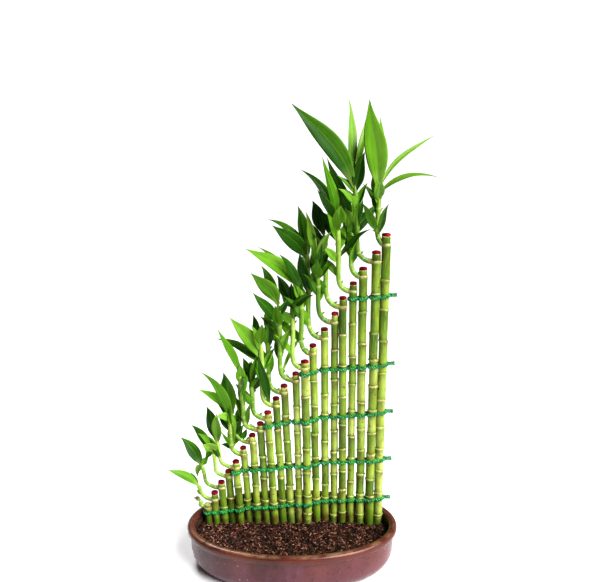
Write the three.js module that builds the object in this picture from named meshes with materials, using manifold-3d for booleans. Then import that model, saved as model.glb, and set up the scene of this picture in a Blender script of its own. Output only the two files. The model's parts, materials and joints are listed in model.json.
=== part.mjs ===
// Lucky bamboo in its bowl: an oval glazed bowl of soil, a stepped row of tied canes and their leafy shoots.
// Millimetres, +Z up, +X to the right, +Y to the back. The origin is the middle of the bowl's flat underside.
import * as THREE from "three";
import manifoldModule from "manifold-3d";

const CLEARANCE = 0.35; // between pieces that touch

// Profiles are [inset from the rim's outer edge, height].
const BOWL = {
  length: 290,
  width: 191,
  height: 60,
  sides: 40,
  outside: [[30, 0], [18.6, 3], [12.6, 8], [7.8, 16], [5, 30], [4.6, 48.5], [0.4, 51], [0.4, 57], [4.5, 60]],
  inside: [[9.5, 59.4], [11.5, 56], [13, 22], [19, 13], [32, 8]],
  squareness: 2.06, // 2 is a plain ellipse
};
const SOIL = { top: 47, low: 22, lump: 1.3, heap: 2.5, rings: [0.97, 0.75, 0.4] };

const CANE = { sides: 8, foot: 22, firstNode: 56, flare: 0.5, ridge: 1.6, kink: 0.35, topNode: 0.62 };
const NODE_GAP = { least: 25, spread: 9, stretch: 0.045 }; // the gap grows by stretch times the height
const ROW_DEPTH = 22; // the row of canes stands this far behind the bowl's middle
const CAP = { sides: 7, height: 3.4, overhang: 0.5 };
const SHOOT = { sides: 5, foot: 3.4, crown: 2.4, steps: 6 };
const WIRE = { thick: 1.4, tall: 4.2, slack: 0.35, tail: 9 };

// Widths along a blade, as [way along, share of the width], and its thickness at the root and near the tip.
const BLADE = {
  outline: [[0, 0.26], [0.22, 0.74], [0.46, 1], [0.78, 0.55]],
  shortOutline: [[0, 0.3], [0.38, 1], [0.76, 0.6]],
  short: 62,
  thick: [1.4, 0.8],
  fold: 0.2,
  twist: 34, // degrees, at most
};
// The row is looked at from here: a leaf has its lean and length from here, however far it turns aside.
const EYE = new THREE.Vector3(17, -919, 569);

// The wires, as the height at their first and last cane; each one ends at the tallest cane.
const WIRES = [
  { from: 17, left: 370, right: 374 },
  { from: 12, left: 267, right: 279 },
  { from: 8, left: 193, right: 211 },
  { from: 4, left: 124.5, right: 142 },
  { from: 0, left: 63, right: 84 },
];

// One row for each plant, from the shortest. foot is where its cane stands along the row and set how far
// behind it, lean how far the cane's tip leans over and tip how high it is. crown is the end of its shoot,
// measured from the cane's tip. A leaf is [way up the shoot, lean in degrees, length, width, arch].
const PLANTS = [
  {
    foot: -117, set: -2, lean: -2, tip: 75, girth: 9.2, crown: [-10, 5],
    leaves: [[1, -72, 11, 6, 0.3]],
  },
  {
    foot: -106, set: -2, lean: -3.5, tip: 94, girth: 9.2, crown: [-22, 9],
    leaves: [[1, -61, 50, 12, 0.3], [1, -29, 23, 7, 0.3], [0.45, -51, 11, 6, 0.3]],
  },
  {
    foot: -94.5, set: -2, lean: -5, tip: 110, girth: 9.4, crown: [-27, 22],
    leaves: [[1, -35, 51, 17, 0.3], [1, 38, 16, 9, 0.4], [0.95, -157, 18, 9, 0.6]],
  },
  {
    foot: -83, set: 1, lean: -6.5, tip: 125, girth: 9.4, crown: [-20, 29],
    leaves: [[1, -57, 19, 17, 0.8], [1, -37, 50, 13, 0.3], [0.95, -130, 16, 9, 0.6]],
  },
  {
    foot: -71.5, set: -3, lean: -7, tip: 141, girth: 9.6, crown: [-26, 27],
    leaves: [[1, -15, 53, 17, 0.2], [1, 1, 41, 16, 0.2]],
  },
  {
    foot: -59.5, set: 3, lean: -9, tip: 159, girth: 8.8, crown: [-17, 41],
    leaves: [[1, -74, 22, 12, 0.8], [0.45, -66, 19, 7, 0.6], [0.5, -31, 29, 6, 0.3], [1, -29, 81, 14, 1.1]],
  },
  {
    foot: -48, set: 0, lean: -7.5, tip: 179, girth: 9.4, crown: [-28, 28],
    leaves: [[1, -10, 61, 24, 0.1], [1, -52, 59, 13, 0.45], [0.3, 21, 19, 9, 0.4], [0.5, 20, 28, 7, 0.2]],
  },
  {
    foot: -35.5, set: 0, lean: -8.5, tip: 196, girth: 9.6, crown: [-26, 75],
    leaves: [
      [1, -25, 69, 11, 0.3], [0.55, -54, 12, 9, 0.5], [0.45, 12, 34, 9, 0.4], [0.6, -3, 77, 11, 0.2],
      [0.95, 179, 29, 8, 0.7],
    ],
  },
  {
    foot: -23.5, set: -2, lean: -10, tip: 213, girth: 9.6, crown: [-23, 41],
    leaves: [[1, -17, 37, 12, 0.2], [1, 13, 39, 10, 0.2], [1, -4, 29, 10, 0.1], [1, -72, 19, 7, 0.5]],
  },
  {
    foot: -11.5, set: 1, lean: -10.5, tip: 232, girth: 9.4, crown: [-20, 82],
    leaves: [
      [0.85, -36, 71, 20, 0.35], [1, -14, 40, 13, 0.2], [0.25, -11, 75, 12, 0.1],
      [0.8, -60, 73, 13, 0.35],
    ],
  },
  {
    foot: 0, set: 2, lean: -11, tip: 250, girth: 9.6, crown: [-23, 73],
    leaves: [[1, -147, 24, 16, 0.6], [0.99, 145, 33, 18, 0.6], [1, 3, 44, 12, 0.1]],
  },
  {
    foot: 11, set: 0, lean: -6, tip: 268, girth: 9, crown: [-23, 100],
    leaves: [[1, -41, 55, 20, 0.5], [1, -23, 56, 14, 0.3], [0.85, -39, 55, 15, 0.1], [0.5, 26, 71, 6, 0.4]],
  },
  {
    foot: 22.5, set: -3, lean: -5, tip: 286, girth: 10.8, crown: [-17, 79],
    leaves: [
      [1, -28, 44, 17, 0.2], [0.86, 36, 35, 13, 0.3], [0.95, -39, 24, 10, 0.1], [0.95, 60, 33, 11, 0.4],
    ],
  },
  {
    foot: 35.5, set: 3, lean: -7, tip: 307, girth: 9.6, crown: [-16, 80],
    leaves: [[1, -54, 91, 20, 0.35], [1, -32, 54, 13, 0.25], [0.9, -15, 47, 13, 0.1], [1, -46, 81, 9, 0.3]],
  },
  {
    foot: 47, set: 5, lean: -3, tip: 329, girth: 9.6, crown: [-24, 110],
    leaves: [
      [1, -12, 59, 16, 0.2], [0.93, -47, 64, 21, 0.35], [1, -53, 65, 11, 0.4], [0.72, -12, 57, 17, 0.2],
      [1, -16, 32, 11, 0.3],
    ],
  },
  {
    foot: 59, set: 4, lean: -1, tip: 351, girth: 9.2, crown: [-25.5, 77],
    leaves: [
      [1, 29, 40, 11, 0.3], [0.85, 27, 36, 10, 0.3], [0.8, 42, 32, 7, 0.3], [1, -13, 63, 12, 0.2],
      [0.9, 12, 35, 8, 0.1],
    ],
  },
  {
    foot: 70.5, set: 1, lean: -2, tip: 373, girth: 9.8, crown: [-26, 85],
    leaves: [[1, -19, 47, 18, 0.2], [1, 8, 46, 12, 0.1], [0.85, -28, 46, 12, 0.2]],
  },
  {
    foot: 82, set: 1, lean: 0, tip: 393, girth: 9.4, crown: [-22, 78],
    leaves: [
      [1, 10, 27, 18, 0.2], [1, -65, 14, 13, 0.95], [1, -13, 92, 15, 0.4], [1, -34, 87, 13, 0.8],
      [1, -30, 54, 12, 0.4], [0.85, -33, 51, 16, 0.3], [0.72, 48, 58, 10, 0.3],
    ],
  },
  {
    foot: 95.5, set: -1, lean: -1, tip: 413, girth: 10.6, crown: [-16, 50],
    leaves: [
      [0.88, 37, 59, 15, 0.25], [1, -16, 31, 17, 0.2], [1, 8, 51, 11, 0.2], [1, 31, 18, 13, 0.9],
      [0.95, 19, 46, 13, 0.1], [1, -19, 99, 17, 0.35], [0.6, -16, 50, 6, 0.3],
    ],
  },
  {
    foot: 108, set: -3, lean: 3.5, tip: 435, girth: 11.4, crown: [-30, 86],
    leaves: [
      [1, -38, 132, 26, 0.4], [1, -5, 112, 13, 0.15], [0.95, 13, 52, 17, 0.2], [1, 9, 104, 9, 0.3],
      [0.93, -44, 36, 9, 0.3],
    ],
  },
  {
    foot: 120.5, set: -1, lean: 3.8, tip: 458, girth: 11.4, crown: [-10.5, 59],
    leaves: [
      [0.97, 0, 94, 14, 0.2], [1, -7, 114, 30, 0.1], [0.98, 46, 102, 7, 0.5], [0.92, 75, 84, 8, 0.55],
      [0.8, -36, 37, 10, 0.3], [0.5, 19, 44, 9, 0.3],
    ],
  },
];
// Blades that grow to the front or to the back of a tall plant's crown.
const FILLERS = { from: 8, lean: 16, length: [34, 52], width: [12, 17], turn: 52 };
const BRACT = { from: 7, at: 0.13, lean: -58, length: 13, width: 5 }; // the dry scale low on a shoot

const wasm = await manifoldModule();
wasm.setup();

// A fixed number from 0 to 1 for the nth choice about plant i.
function draw(i, n) {
  const seed = 37 * i + 11 * n + 5;
  return ((seed * seed * 29 + seed * 641 + 71) % 1009) / 1009;
}

function vec(x, y, z) {
  return new THREE.Vector3(x, y, z);
}

// Skins rings of points into one closed solid. A ring of one point is a pole; other ends get a flat fan.
function loft(rings) {
  const points = rings.flat();
  const starts = [];
  let count = 0;
  for (const ring of rings) {
    starts.push(count);
    count += ring.length;
  }
  const faces = [];
  for (let k = 0; k + 1 < rings.length; k++) {
    const [a, b] = [starts[k], starts[k + 1]];
    const [na, nb] = [rings[k].length, rings[k + 1].length];
    for (let j = 0; j < Math.max(na, nb); j++) {
      const next = (j + 1) % Math.max(na, nb);
      if (na > 1) faces.push(a + j, a + next, b + (nb > 1 ? next : 0));
      if (nb > 1) faces.push(a + (na > 1 ? j : 0), b + next, b + j);
    }
  }
  for (const [end, turn] of [[0, 1], [rings.length - 1, 0]]) {
    const first = starts[end];
    for (let j = 1; j + 1 < rings[end].length; j++) {
      faces.push(first, first + j + turn, first + j + 1 - turn);
    }
  }
  return orient(points, faces);
}

function orient(points, faces) {
  let volume = 0;
  for (let f = 0; f < faces.length; f += 3) {
    const [a, b, c] = [0, 1, 2].map((j) => points[faces[f + j]]);
    volume += a.dot(b.clone().cross(c));
  }
  if (volume < 0) {
    for (let f = 0; f < faces.length; f += 3) {
      [faces[f + 1], faces[f + 2]] = [faces[f + 2], faces[f + 1]];
    }
  }
  const geometry = new THREE.BufferGeometry().setFromPoints(points);
  geometry.setIndex(faces);
  return geometry;
}

function toSolid(geometry) {
  return new wasm.Manifold(
    new wasm.Mesh({
      numProp: 3,
      vertProperties: new Float32Array(geometry.attributes.position.array),
      triVerts: new Uint32Array(geometry.index.array),
    }),
  );
}

function toGeometry(solid) {
  const mesh = solid.getMesh();
  const geometry = new THREE.BufferGeometry();
  geometry.setAttribute("position", new THREE.BufferAttribute(new Float32Array(mesh.vertProperties), 3));
  geometry.setIndex(new THREE.BufferAttribute(new Uint32Array(mesh.triVerts), 1));
  return geometry;
}

function addAll(geometries) {
  return geometries.map(toSolid).reduce((sum, solid) => sum.add(solid));
}

// A regular ring about centre, with a flat side facing each way along X and Y; radius is to its flats.
function flatRing(centre, radius, sides) {
  const corner = radius / Math.cos(Math.PI / sides);
  return Array.from({ length: sides }, (_, j) => {
    const angle = ((j + 0.5) * 2 * Math.PI) / sides;
    return vec(centre.x + corner * Math.cos(angle), centre.y + corner * Math.sin(angle), centre.z);
  });
}

function ovalRing(inset, z, share = 1) {
  return Array.from({ length: BOWL.sides }, (_, j) => {
    const angle = (j * 2 * Math.PI) / BOWL.sides;
    const bulge = (v) => Math.sign(v) * Math.abs(v) ** (2 / BOWL.squareness);
    const [x, y] = [bulge(Math.cos(angle)), bulge(Math.sin(angle))];
    return vec((BOWL.length / 2 - inset) * share * x, (BOWL.width / 2 - inset) * share * y, z);
  });
}

function bowlGeometry() {
  const profile = [...BOWL.outside, ...BOWL.inside];
  const floor = BOWL.inside.at(-1)[1];
  return loft([[vec(0, 0, 0)], ...profile.map(([inset, z]) => ovalRing(inset, z)), [vec(0, 0, floor)]]);
}

// How far the inner wall is from the rim's outer edge at a height.
function wallInset(z) {
  const wall = BOWL.inside;
  const k = wall.findIndex((point) => point[1] <= z);
  const [[i0, z0], [i1, z1]] = [wall[k - 1], wall[k]];
  return i0 + ((i1 - i0) * (z0 - z)) / (z0 - z1);
}

// The soil is a little higher along the row of canes and lumpy all over.
function soilHeight(x, y) {
  const ridge = SOIL.heap * Math.exp(-(((y - ROW_DEPTH) / 40) ** 2));
  const lumps = Math.sin(x / 6.1 + 1.4 * Math.sin(y / 8.3)) * Math.cos(y / 5.7 + x / 17);
  return SOIL.top + ridge + SOIL.lump * lumps;
}

function soilGeometry() {
  const side = (z) => ovalRing(wallInset(z) + 2 * CLEARANCE, z);
  const floor = BOWL.inside.at(-1)[1] + CLEARANCE;
  const base = ovalRing(BOWL.inside.at(-1)[0] + 2, floor);
  const walls = [side(SOIL.low), side(SOIL.top - 1)];
  const top = SOIL.rings.map((share) =>
    ovalRing(wallInset(SOIL.top), 0, share).map((p) => vec(p.x, p.y, soilHeight(p.x, p.y))),
  );
  const ends = [[vec(0, 0, floor)], [vec(0, 0, soilHeight(0, 0))]];
  const ground = toSolid(loft([ends[0], base, ...walls, ...top, ends[1]]));
  const holes = PLANTS.map((plant) => {
    const reach = [CANE.foot - CLEARANCE, CANE.firstNode];
    const radius = plant.girth / 2 + CLEARANCE;
    return toSolid(loft(reach.map((z) => flatRing(caneAxis(plant, z), radius, CANE.sides))));
  });
  return toGeometry(holes.reduce((left, hole) => left.subtract(hole), ground));
}

function caneAxis(plant, z) {
  const way = (z - CANE.foot) / (plant.tip - CANE.foot);
  return vec(plant.foot + plant.lean * way, ROW_DEPTH + plant.set, z);
}

function wireHeight(wire, x) {
  const [start, end] = [PLANTS[wire.from].foot, PLANTS.at(-1).foot];
  return wire.left + ((wire.right - wire.left) * (x - start)) / (end - start);
}

// The shoot leaves a cane's top node, which is just above the tip of the next shorter cane.
function topNode(plant, i) {
  return plant.tip - (i ? CANE.topNode * (plant.tip - PLANTS[i - 1].tip) : 5);
}

// Node heights from the top one down, each moved away from a wire that crosses the cane there.
function nodeHeights(plant, i) {
  const heights = [];
  let z = topNode(plant, i);
  for (let n = 0; z > CANE.firstNode; n++) {
    const isNear = (wire) => i >= wire.from && Math.abs(wireHeight(wire, plant.foot) - z) < 4.5;
    const near = WIRES.find(isNear);
    heights.push(near ? wireHeight(near, plant.foot) + 5 : z);
    z -= NODE_GAP.least + NODE_GAP.spread * draw(i, n) + NODE_GAP.stretch * (z - CANE.firstNode);
  }
  return heights.reverse();
}

function caneGeometry(plant, i) {
  const radius = plant.girth / 2;
  const ring = (z, more) => flatRing(caneAxis(plant, z), radius - 0.2 + more, CANE.sides);
  const rings = [ring(CANE.foot, 0), ring(CANE.firstNode - 3, 0)];
  nodeHeights(plant, i).forEach((z, n) => {
    const kink = CANE.kink * (2 * draw(i, n + 20) - 1);
    const nodeRings = [ring(z, CANE.flare), ring(z + CANE.ridge, 0)];
    rings.push(...nodeRings.map((points) => points.map((p) => p.setX(p.x + kink))));
  });
  rings.push(ring(plant.tip - CAP.height - CLEARANCE, i ? 0 : 0.4));
  return loft(rings);
}

// The wax dip that seals a cut cane, a low dome.
function capGeometry(plant) {
  const radius = plant.girth / 2 + CAP.overhang;
  const at = (rise) => caneAxis(plant, plant.tip - CAP.height + rise);
  const skirt = flatRing(at(0), radius - 0.5, CAP.sides);
  const shoulder = flatRing(at(1.8), radius, CAP.sides);
  return loft([skirt, shoulder, [at(CAP.height)]]);
}

// The middle line of a shoot: out of the top node, round the elbow and up to the crown.
function shootPath(plant, i) {
  const tip = caneAxis(plant, plant.tip);
  const [reach, rise] = plant.crown;
  const elbow = -(5 + 0.6 * -reach);
  const side = (i % 2 ? -1 : 1) * (5 + 5 * draw(i, 40)) * Math.min(1, rise / 50);
  const low = Math.min(-3, rise * 0.5 - 8);
  const foot = topNode(plant, i);
  return new THREE.CatmullRomCurve3(
    [
      vec(tip.x, tip.y, foot - 1),
      vec(tip.x + 0.55 * elbow, tip.y, foot + 1),
      vec(tip.x + elbow, tip.y + 0.2 * side, Math.max(foot + 3, tip.z + low)),
      vec(tip.x + 0.5 * (elbow + reach), tip.y + 0.6 * side, tip.z + 0.5 * (low + rise)),
      vec(tip.x + reach, tip.y + side, tip.z + rise),
    ],
    false,
    "centripetal",
  );
}

// Rings round a path, each square to it, with radius a function of the way along.
function tube(path, steps, sides, radius) {
  const rings = [];
  for (let k = 0; k <= steps; k++) {
    const way = k / steps;
    const [before, after] = [Math.max(0, way - 0.01), Math.min(1, way + 0.01)];
    const tangent = path.getPoint(after).sub(path.getPoint(before)).normalize();
    const across = vec(0, 1, 0).cross(tangent).normalize();
    const over = tangent.clone().cross(across);
    const centre = path.getPoint(way);
    rings.push(
      Array.from({ length: sides }, (_, j) => {
        const angle = (j * 2 * Math.PI) / sides;
        const point = centre.clone().addScaledVector(across, radius(way) * Math.cos(angle));
        return point.addScaledVector(over, radius(way) * Math.sin(angle));
      }),
    );
  }
  return loft(rings);
}

function shootGeometry(plant, i) {
  const size = plant.crown[1] < 30 ? 0.72 : 1;
  const radius = (way) => size * (SHOOT.foot + (SHOOT.crown - SHOOT.foot) * way);
  return tube(shootPath(plant, i), SHOOT.steps, SHOOT.sides, radius);
}

// A leaf's middle line. Its place in the row's plane is fixed; depth is how far its tip is to the back.
function leafLine(root, [, lean, length, , arch], depth) {
  const angle = THREE.MathUtils.degToRad(lean);
  const along = (turn, reach) => root.clone().add(vec(reach * Math.sin(turn), 0, reach * Math.cos(turn)));
  const middle = moveBack(along(angle * (1 - arch), 0.5 * length), 0.35 * depth);
  return new THREE.QuadraticBezierCurve3(root, middle, moveBack(along(angle, length), depth));
}

// Moves a point to the back by depth, along its line of sight.
function moveBack(point, depth) {
  const sight = point.clone().sub(EYE);
  return point.clone().addScaledVector(sight, depth / sight.y);
}

// The directions across and out of a blade, turned about its middle line by a twist.
function bladeFrame(line, way, twist) {
  const tangent = line.getTangent(way);
  const front = vec(0, -1, 0.35);
  const out = front.addScaledVector(tangent, -front.dot(tangent)).normalize().applyAxisAngle(tangent, twist);
  return { across: tangent.clone().cross(out), out };
}

function leafGeometry(line, width, twist, length) {
  const outline = length < BLADE.short ? BLADE.shortOutline : BLADE.outline;
  const rings = outline.map(([way, share]) => {
    const { across, out } = bladeFrame(line, way, twist);
    const half = 0.5 * width * share;
    const thick = 0.5 * (BLADE.thick[0] + (BLADE.thick[1] - BLADE.thick[0]) * way);
    const at = (side, up) => line.getPoint(way).addScaledVector(across, side).addScaledVector(out, up);
    const edge = BLADE.fold * half;
    return [at(-half, edge), at(0, -thick), at(half, edge), at(0, thick)];
  });
  return loft([...rings, [line.getPoint(1)]]);
}

// Points spread over a blade, which stand for it when blades are kept apart.
function leafSamples(line, width, twist) {
  const samples = [];
  const steps = Math.ceil(line.getLength() / 4);
  for (let k = 1; k <= steps; k++) {
    const way = k / steps;
    const { across, out } = bladeFrame(line, way, twist);
    const half = 0.5 * width * shareAt(way);
    const lanes = Math.ceil(half / 4);
    for (let j = -lanes; j <= lanes; j++) {
      const side = lanes ? (half * j) / lanes : 0;
      const point = line.getPoint(way).addScaledVector(across, side);
      samples.push({ point: point.addScaledVector(out, BLADE.fold * Math.abs(side)), way });
    }
  }
  return samples;
}

function shareAt(way) {
  const outline = [...BLADE.outline, [1, 0]];
  const k = outline.findIndex(([w]) => w >= way);
  const [[w0, s0], [w1, s1]] = [outline[k - 1], outline[k]];
  return s0 + ((s1 - s0) * (way - w0)) / (w1 - w0);
}

// A store of balls in space, sorted into cubes so that near ones are found fast.
const CUBE = 16;
const store = new Map();

function cubeKey(x, y, z) {
  return `${x},${y},${z}`;
}

function keep(point, radius, owner, way = 0) {
  const key = cubeKey(...point.toArray().map((v) => Math.floor(v / CUBE)));
  if (!store.has(key)) store.set(key, []);
  store.get(key).push({ point, radius, owner, way });
}

function isFree({ point, way }, owner, apart) {
  const [cx, cy, cz] = point.toArray().map((v) => Math.floor(v / CUBE));
  for (let x = cx - 1; x <= cx + 1; x++) {
    for (let y = cy - 1; y <= cy + 1; y++) {
      for (let z = cz - 1; z <= cz + 1; z++) {
        for (const ball of store.get(cubeKey(x, y, z)) ?? []) {
          if (ball.owner === owner && (way < 0.4 || ball.way < 0.4)) continue;
          if (ball.point.distanceTo(point) < ball.radius + apart) return false;
        }
      }
    }
  }
  return true;
}

function keepStems() {
  PLANTS.forEach((plant, i) => {
    for (let z = SOIL.top; z <= plant.tip; z += 4) {
      keep(caneAxis(plant, z), plant.girth / 2 + 0.6, i);
    }
    const path = shootPath(plant, i);
    for (let way = 0; way <= 1; way += 0.04) {
      keep(path.getPoint(way), SHOOT.foot, i);
    }
    keep(caneAxis(plant, plant.tip - 1.5), plant.girth / 2 + 1, "cap");
  });
  for (const wire of WIRES) {
    for (const point of [-1, 1].flatMap((side) => strandLine(wire, side))) {
      keep(point.clone().setZ(wireHeight(wire, point.x)), 2.2, "wire");
    }
  }
}

// Tries depths about the wanted one and takes the first where the blade is clear of all that is there.
function placeLeaf(plant, i, n, row, wanted) {
  const root = shootPath(plant, i).getPoint(Math.min(row[0], 0.985));
  const twist = THREE.MathUtils.degToRad(BLADE.twist * (2 * draw(i, n + 60) - 1));
  for (let k = 0; k < 25; k++) {
    const turn = wanted + (k % 2 ? -1 : 1) * 5 * Math.ceil(k / 2);
    if (Math.abs(turn) > 68) continue;
    const line = leafLine(root, row, row[2] * Math.tan(THREE.MathUtils.degToRad(turn)));
    const samples = leafSamples(line, row[3], twist);
    if (!samples.every((sample) => isFree(sample, i, 2.7))) continue;
    samples.forEach(({ point, way }) => keep(point, 2.3, i, way));
    return leafGeometry(line, row[3], twist, row[2]);
  }
  return null;
}

function leafRows(plant, i) {
  const rows = plant.leaves.map((row, n) => {
    const side = (i + n) % 2 ? -1 : 1;
    return { row, wanted: side * (6 + 26 * draw(i, n + 80)) };
  });
  if (i >= BRACT.from) rows.push({ row: [BRACT.at, BRACT.lean, BRACT.length, BRACT.width, 0.2], wanted: 0 });
  return rows;
}

function fillerRows(plant, i) {
  if (i < FILLERS.from) return [];
  return [-1, 1].map((side, n) => {
    const pick = (range, k) => range[0] + (range[1] - range[0]) * draw(i, 90 + 10 * n + k);
    const lean = FILLERS.lean * (2 * draw(i, 94 + 10 * n) - 1) - 8;
    const [length, width] = [0.6 * pick(FILLERS.length, 1), pick(FILLERS.width, 2)];
    return { row: [0.8 + 0.2 * draw(i, 95 + n), lean, length, width, 0.4], wanted: side * FILLERS.turn };
  });
}

function growLeaves() {
  keepStems();
  const blades = PLANTS.map(() => []);
  for (const [rowsOf, first] of [[leafRows, 0], [fillerRows, 9]]) {
    for (let i = PLANTS.length - 1; i >= 0; i--) {
      rowsOf(PLANTS[i], i).forEach(({ row, wanted }, n) => {
        const blade = placeLeaf(PLANTS[i], i, first + n, row, wanted);
        if (blade) blades[i].push(blade);
      });
    }
  }
  return blades;
}

// One of a tie's two strands: it weaves along the fronts (side -1) or the backs (+1) of the canes, dips a
// little into each gap, and its end stands out beside the tallest cane.
function strandLine(wire, side) {
  const line = [];
  const canes = PLANTS.slice(wire.from).map((plant) => {
    const { x, y } = caneAxis(plant, wireHeight(wire, plant.foot));
    return { x, y, radius: plant.girth / 2 + CANE.flare - 0.2 + WIRE.slack + WIRE.thick / 2 };
  });
  const [first, last] = [canes[0], canes.at(-1)];
  line.push(vec(first.x - first.radius - 0.15, first.y + side * 2, 0));
  canes.forEach((cane, k) => {
    if (k) line.push(gapPoint(canes[k - 1], cane, side));
    for (const s of [-1, 1]) {
      line.push(vec(cane.x + s * 0.4 * cane.radius, cane.y + side * cane.radius, 0));
    }
  });
  line.push(vec(last.x + last.radius + 0.4, last.y + side * 2.4, 0));
  line.push(vec(last.x + last.radius + WIRE.tail, last.y + side * 1.4, 0));
  return line;
}

// Where a strand passes the gap between two canes, level with the one that stands further out.
function gapPoint(a, b, side) {
  const outer = side < 0 ? Math.min(a.y, b.y) : Math.max(a.y, b.y);
  const x = 0.5 * (a.x + a.radius + b.x - b.radius);
  return vec(x, outer + side * 0.32 * (a.radius + b.radius), 0);
}

function strandGeometry(wire, side) {
  const line = strandLine(wire, side);
  const section = [[0.5, 0], [-0.5, 0.5], [-0.5, -0.5]];
  const rings = line.map((point, k) => {
    const [before, after] = [line[Math.max(k - 1, 0)], line[Math.min(k + 1, line.length - 1)]];
    const tangent = after.clone().sub(before).normalize();
    const away = vec(-tangent.y, tangent.x, 0).multiplyScalar(side * WIRE.thick);
    return section.map(([u, v]) => {
      const corner = point.clone().addScaledVector(away, u);
      return corner.setZ(wireHeight(wire, corner.x) + v * WIRE.tall);
    });
  });
  return loft(rings);
}

function material(color, roughness, metalness = 0) {
  return new THREE.MeshStandardMaterial({ color, roughness, metalness });
}

const LOOKS = {
  bowl: material(0x5b2b25, 0.25),
  soil: material(0x3b2117, 0.95),
  plant: material(0x7fae35, 0.5),
  wax: material(0xa1142a, 0.4),
  wire: material(0x0fa36b, 0.35),
};

const group = new THREE.Group();

function place(name, geometry, look) {
  const mesh = new THREE.Mesh(geometry, LOOKS[look]);
  mesh.name = name;
  group.add(mesh);
}

const twoDigits = (n) => String(n).padStart(2, "0");

place("bowl", bowlGeometry(), "bowl");
place("soil", soilGeometry(), "soil");
const blades = growLeaves();
PLANTS.forEach((plant, i) => {
  const grown = [caneGeometry(plant, i), shootGeometry(plant, i), ...blades[i]];
  place(`stalk_${twoDigits(i)}`, toGeometry(addAll(grown)), "plant");
  if (i) place(`wax_cap_${twoDigits(i)}`, capGeometry(plant), "wax");
});
WIRES.forEach((wire, k) => {
  place(`wire_${k + 1}_front`, strandGeometry(wire, -1), "wire");
  place(`wire_${k + 1}_back`, strandGeometry(wire, 1), "wire");
});

export default group;
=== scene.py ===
import bpy
import bmesh
import json
import math
import numpy as np
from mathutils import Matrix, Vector, noise

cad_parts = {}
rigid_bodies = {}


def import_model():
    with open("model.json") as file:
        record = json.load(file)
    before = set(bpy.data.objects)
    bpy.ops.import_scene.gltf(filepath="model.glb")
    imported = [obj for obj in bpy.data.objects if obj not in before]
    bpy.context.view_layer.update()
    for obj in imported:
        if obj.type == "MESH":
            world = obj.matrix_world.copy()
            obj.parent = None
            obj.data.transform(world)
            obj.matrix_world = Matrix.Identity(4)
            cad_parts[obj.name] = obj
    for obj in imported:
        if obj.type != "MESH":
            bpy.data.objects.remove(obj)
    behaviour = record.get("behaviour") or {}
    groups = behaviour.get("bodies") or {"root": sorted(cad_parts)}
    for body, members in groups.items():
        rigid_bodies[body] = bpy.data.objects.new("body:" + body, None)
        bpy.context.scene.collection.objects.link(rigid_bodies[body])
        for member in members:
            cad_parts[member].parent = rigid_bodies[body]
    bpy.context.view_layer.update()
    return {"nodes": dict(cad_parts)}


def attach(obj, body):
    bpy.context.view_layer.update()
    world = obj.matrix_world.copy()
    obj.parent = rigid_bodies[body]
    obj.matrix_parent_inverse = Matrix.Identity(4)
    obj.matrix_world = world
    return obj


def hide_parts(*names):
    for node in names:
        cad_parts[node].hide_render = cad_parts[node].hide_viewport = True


# Lengths are in millimetres until a mesh is made; +Z up, +X along the row, +Y to the back.
mm = 0.001
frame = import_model()

eye = np.array([17.0, -919.0, 569.0])   # each leaf has its lean and length as seen from here
rowDepth = 22                           # the row of canes stands this far behind the bowl's middle

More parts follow.
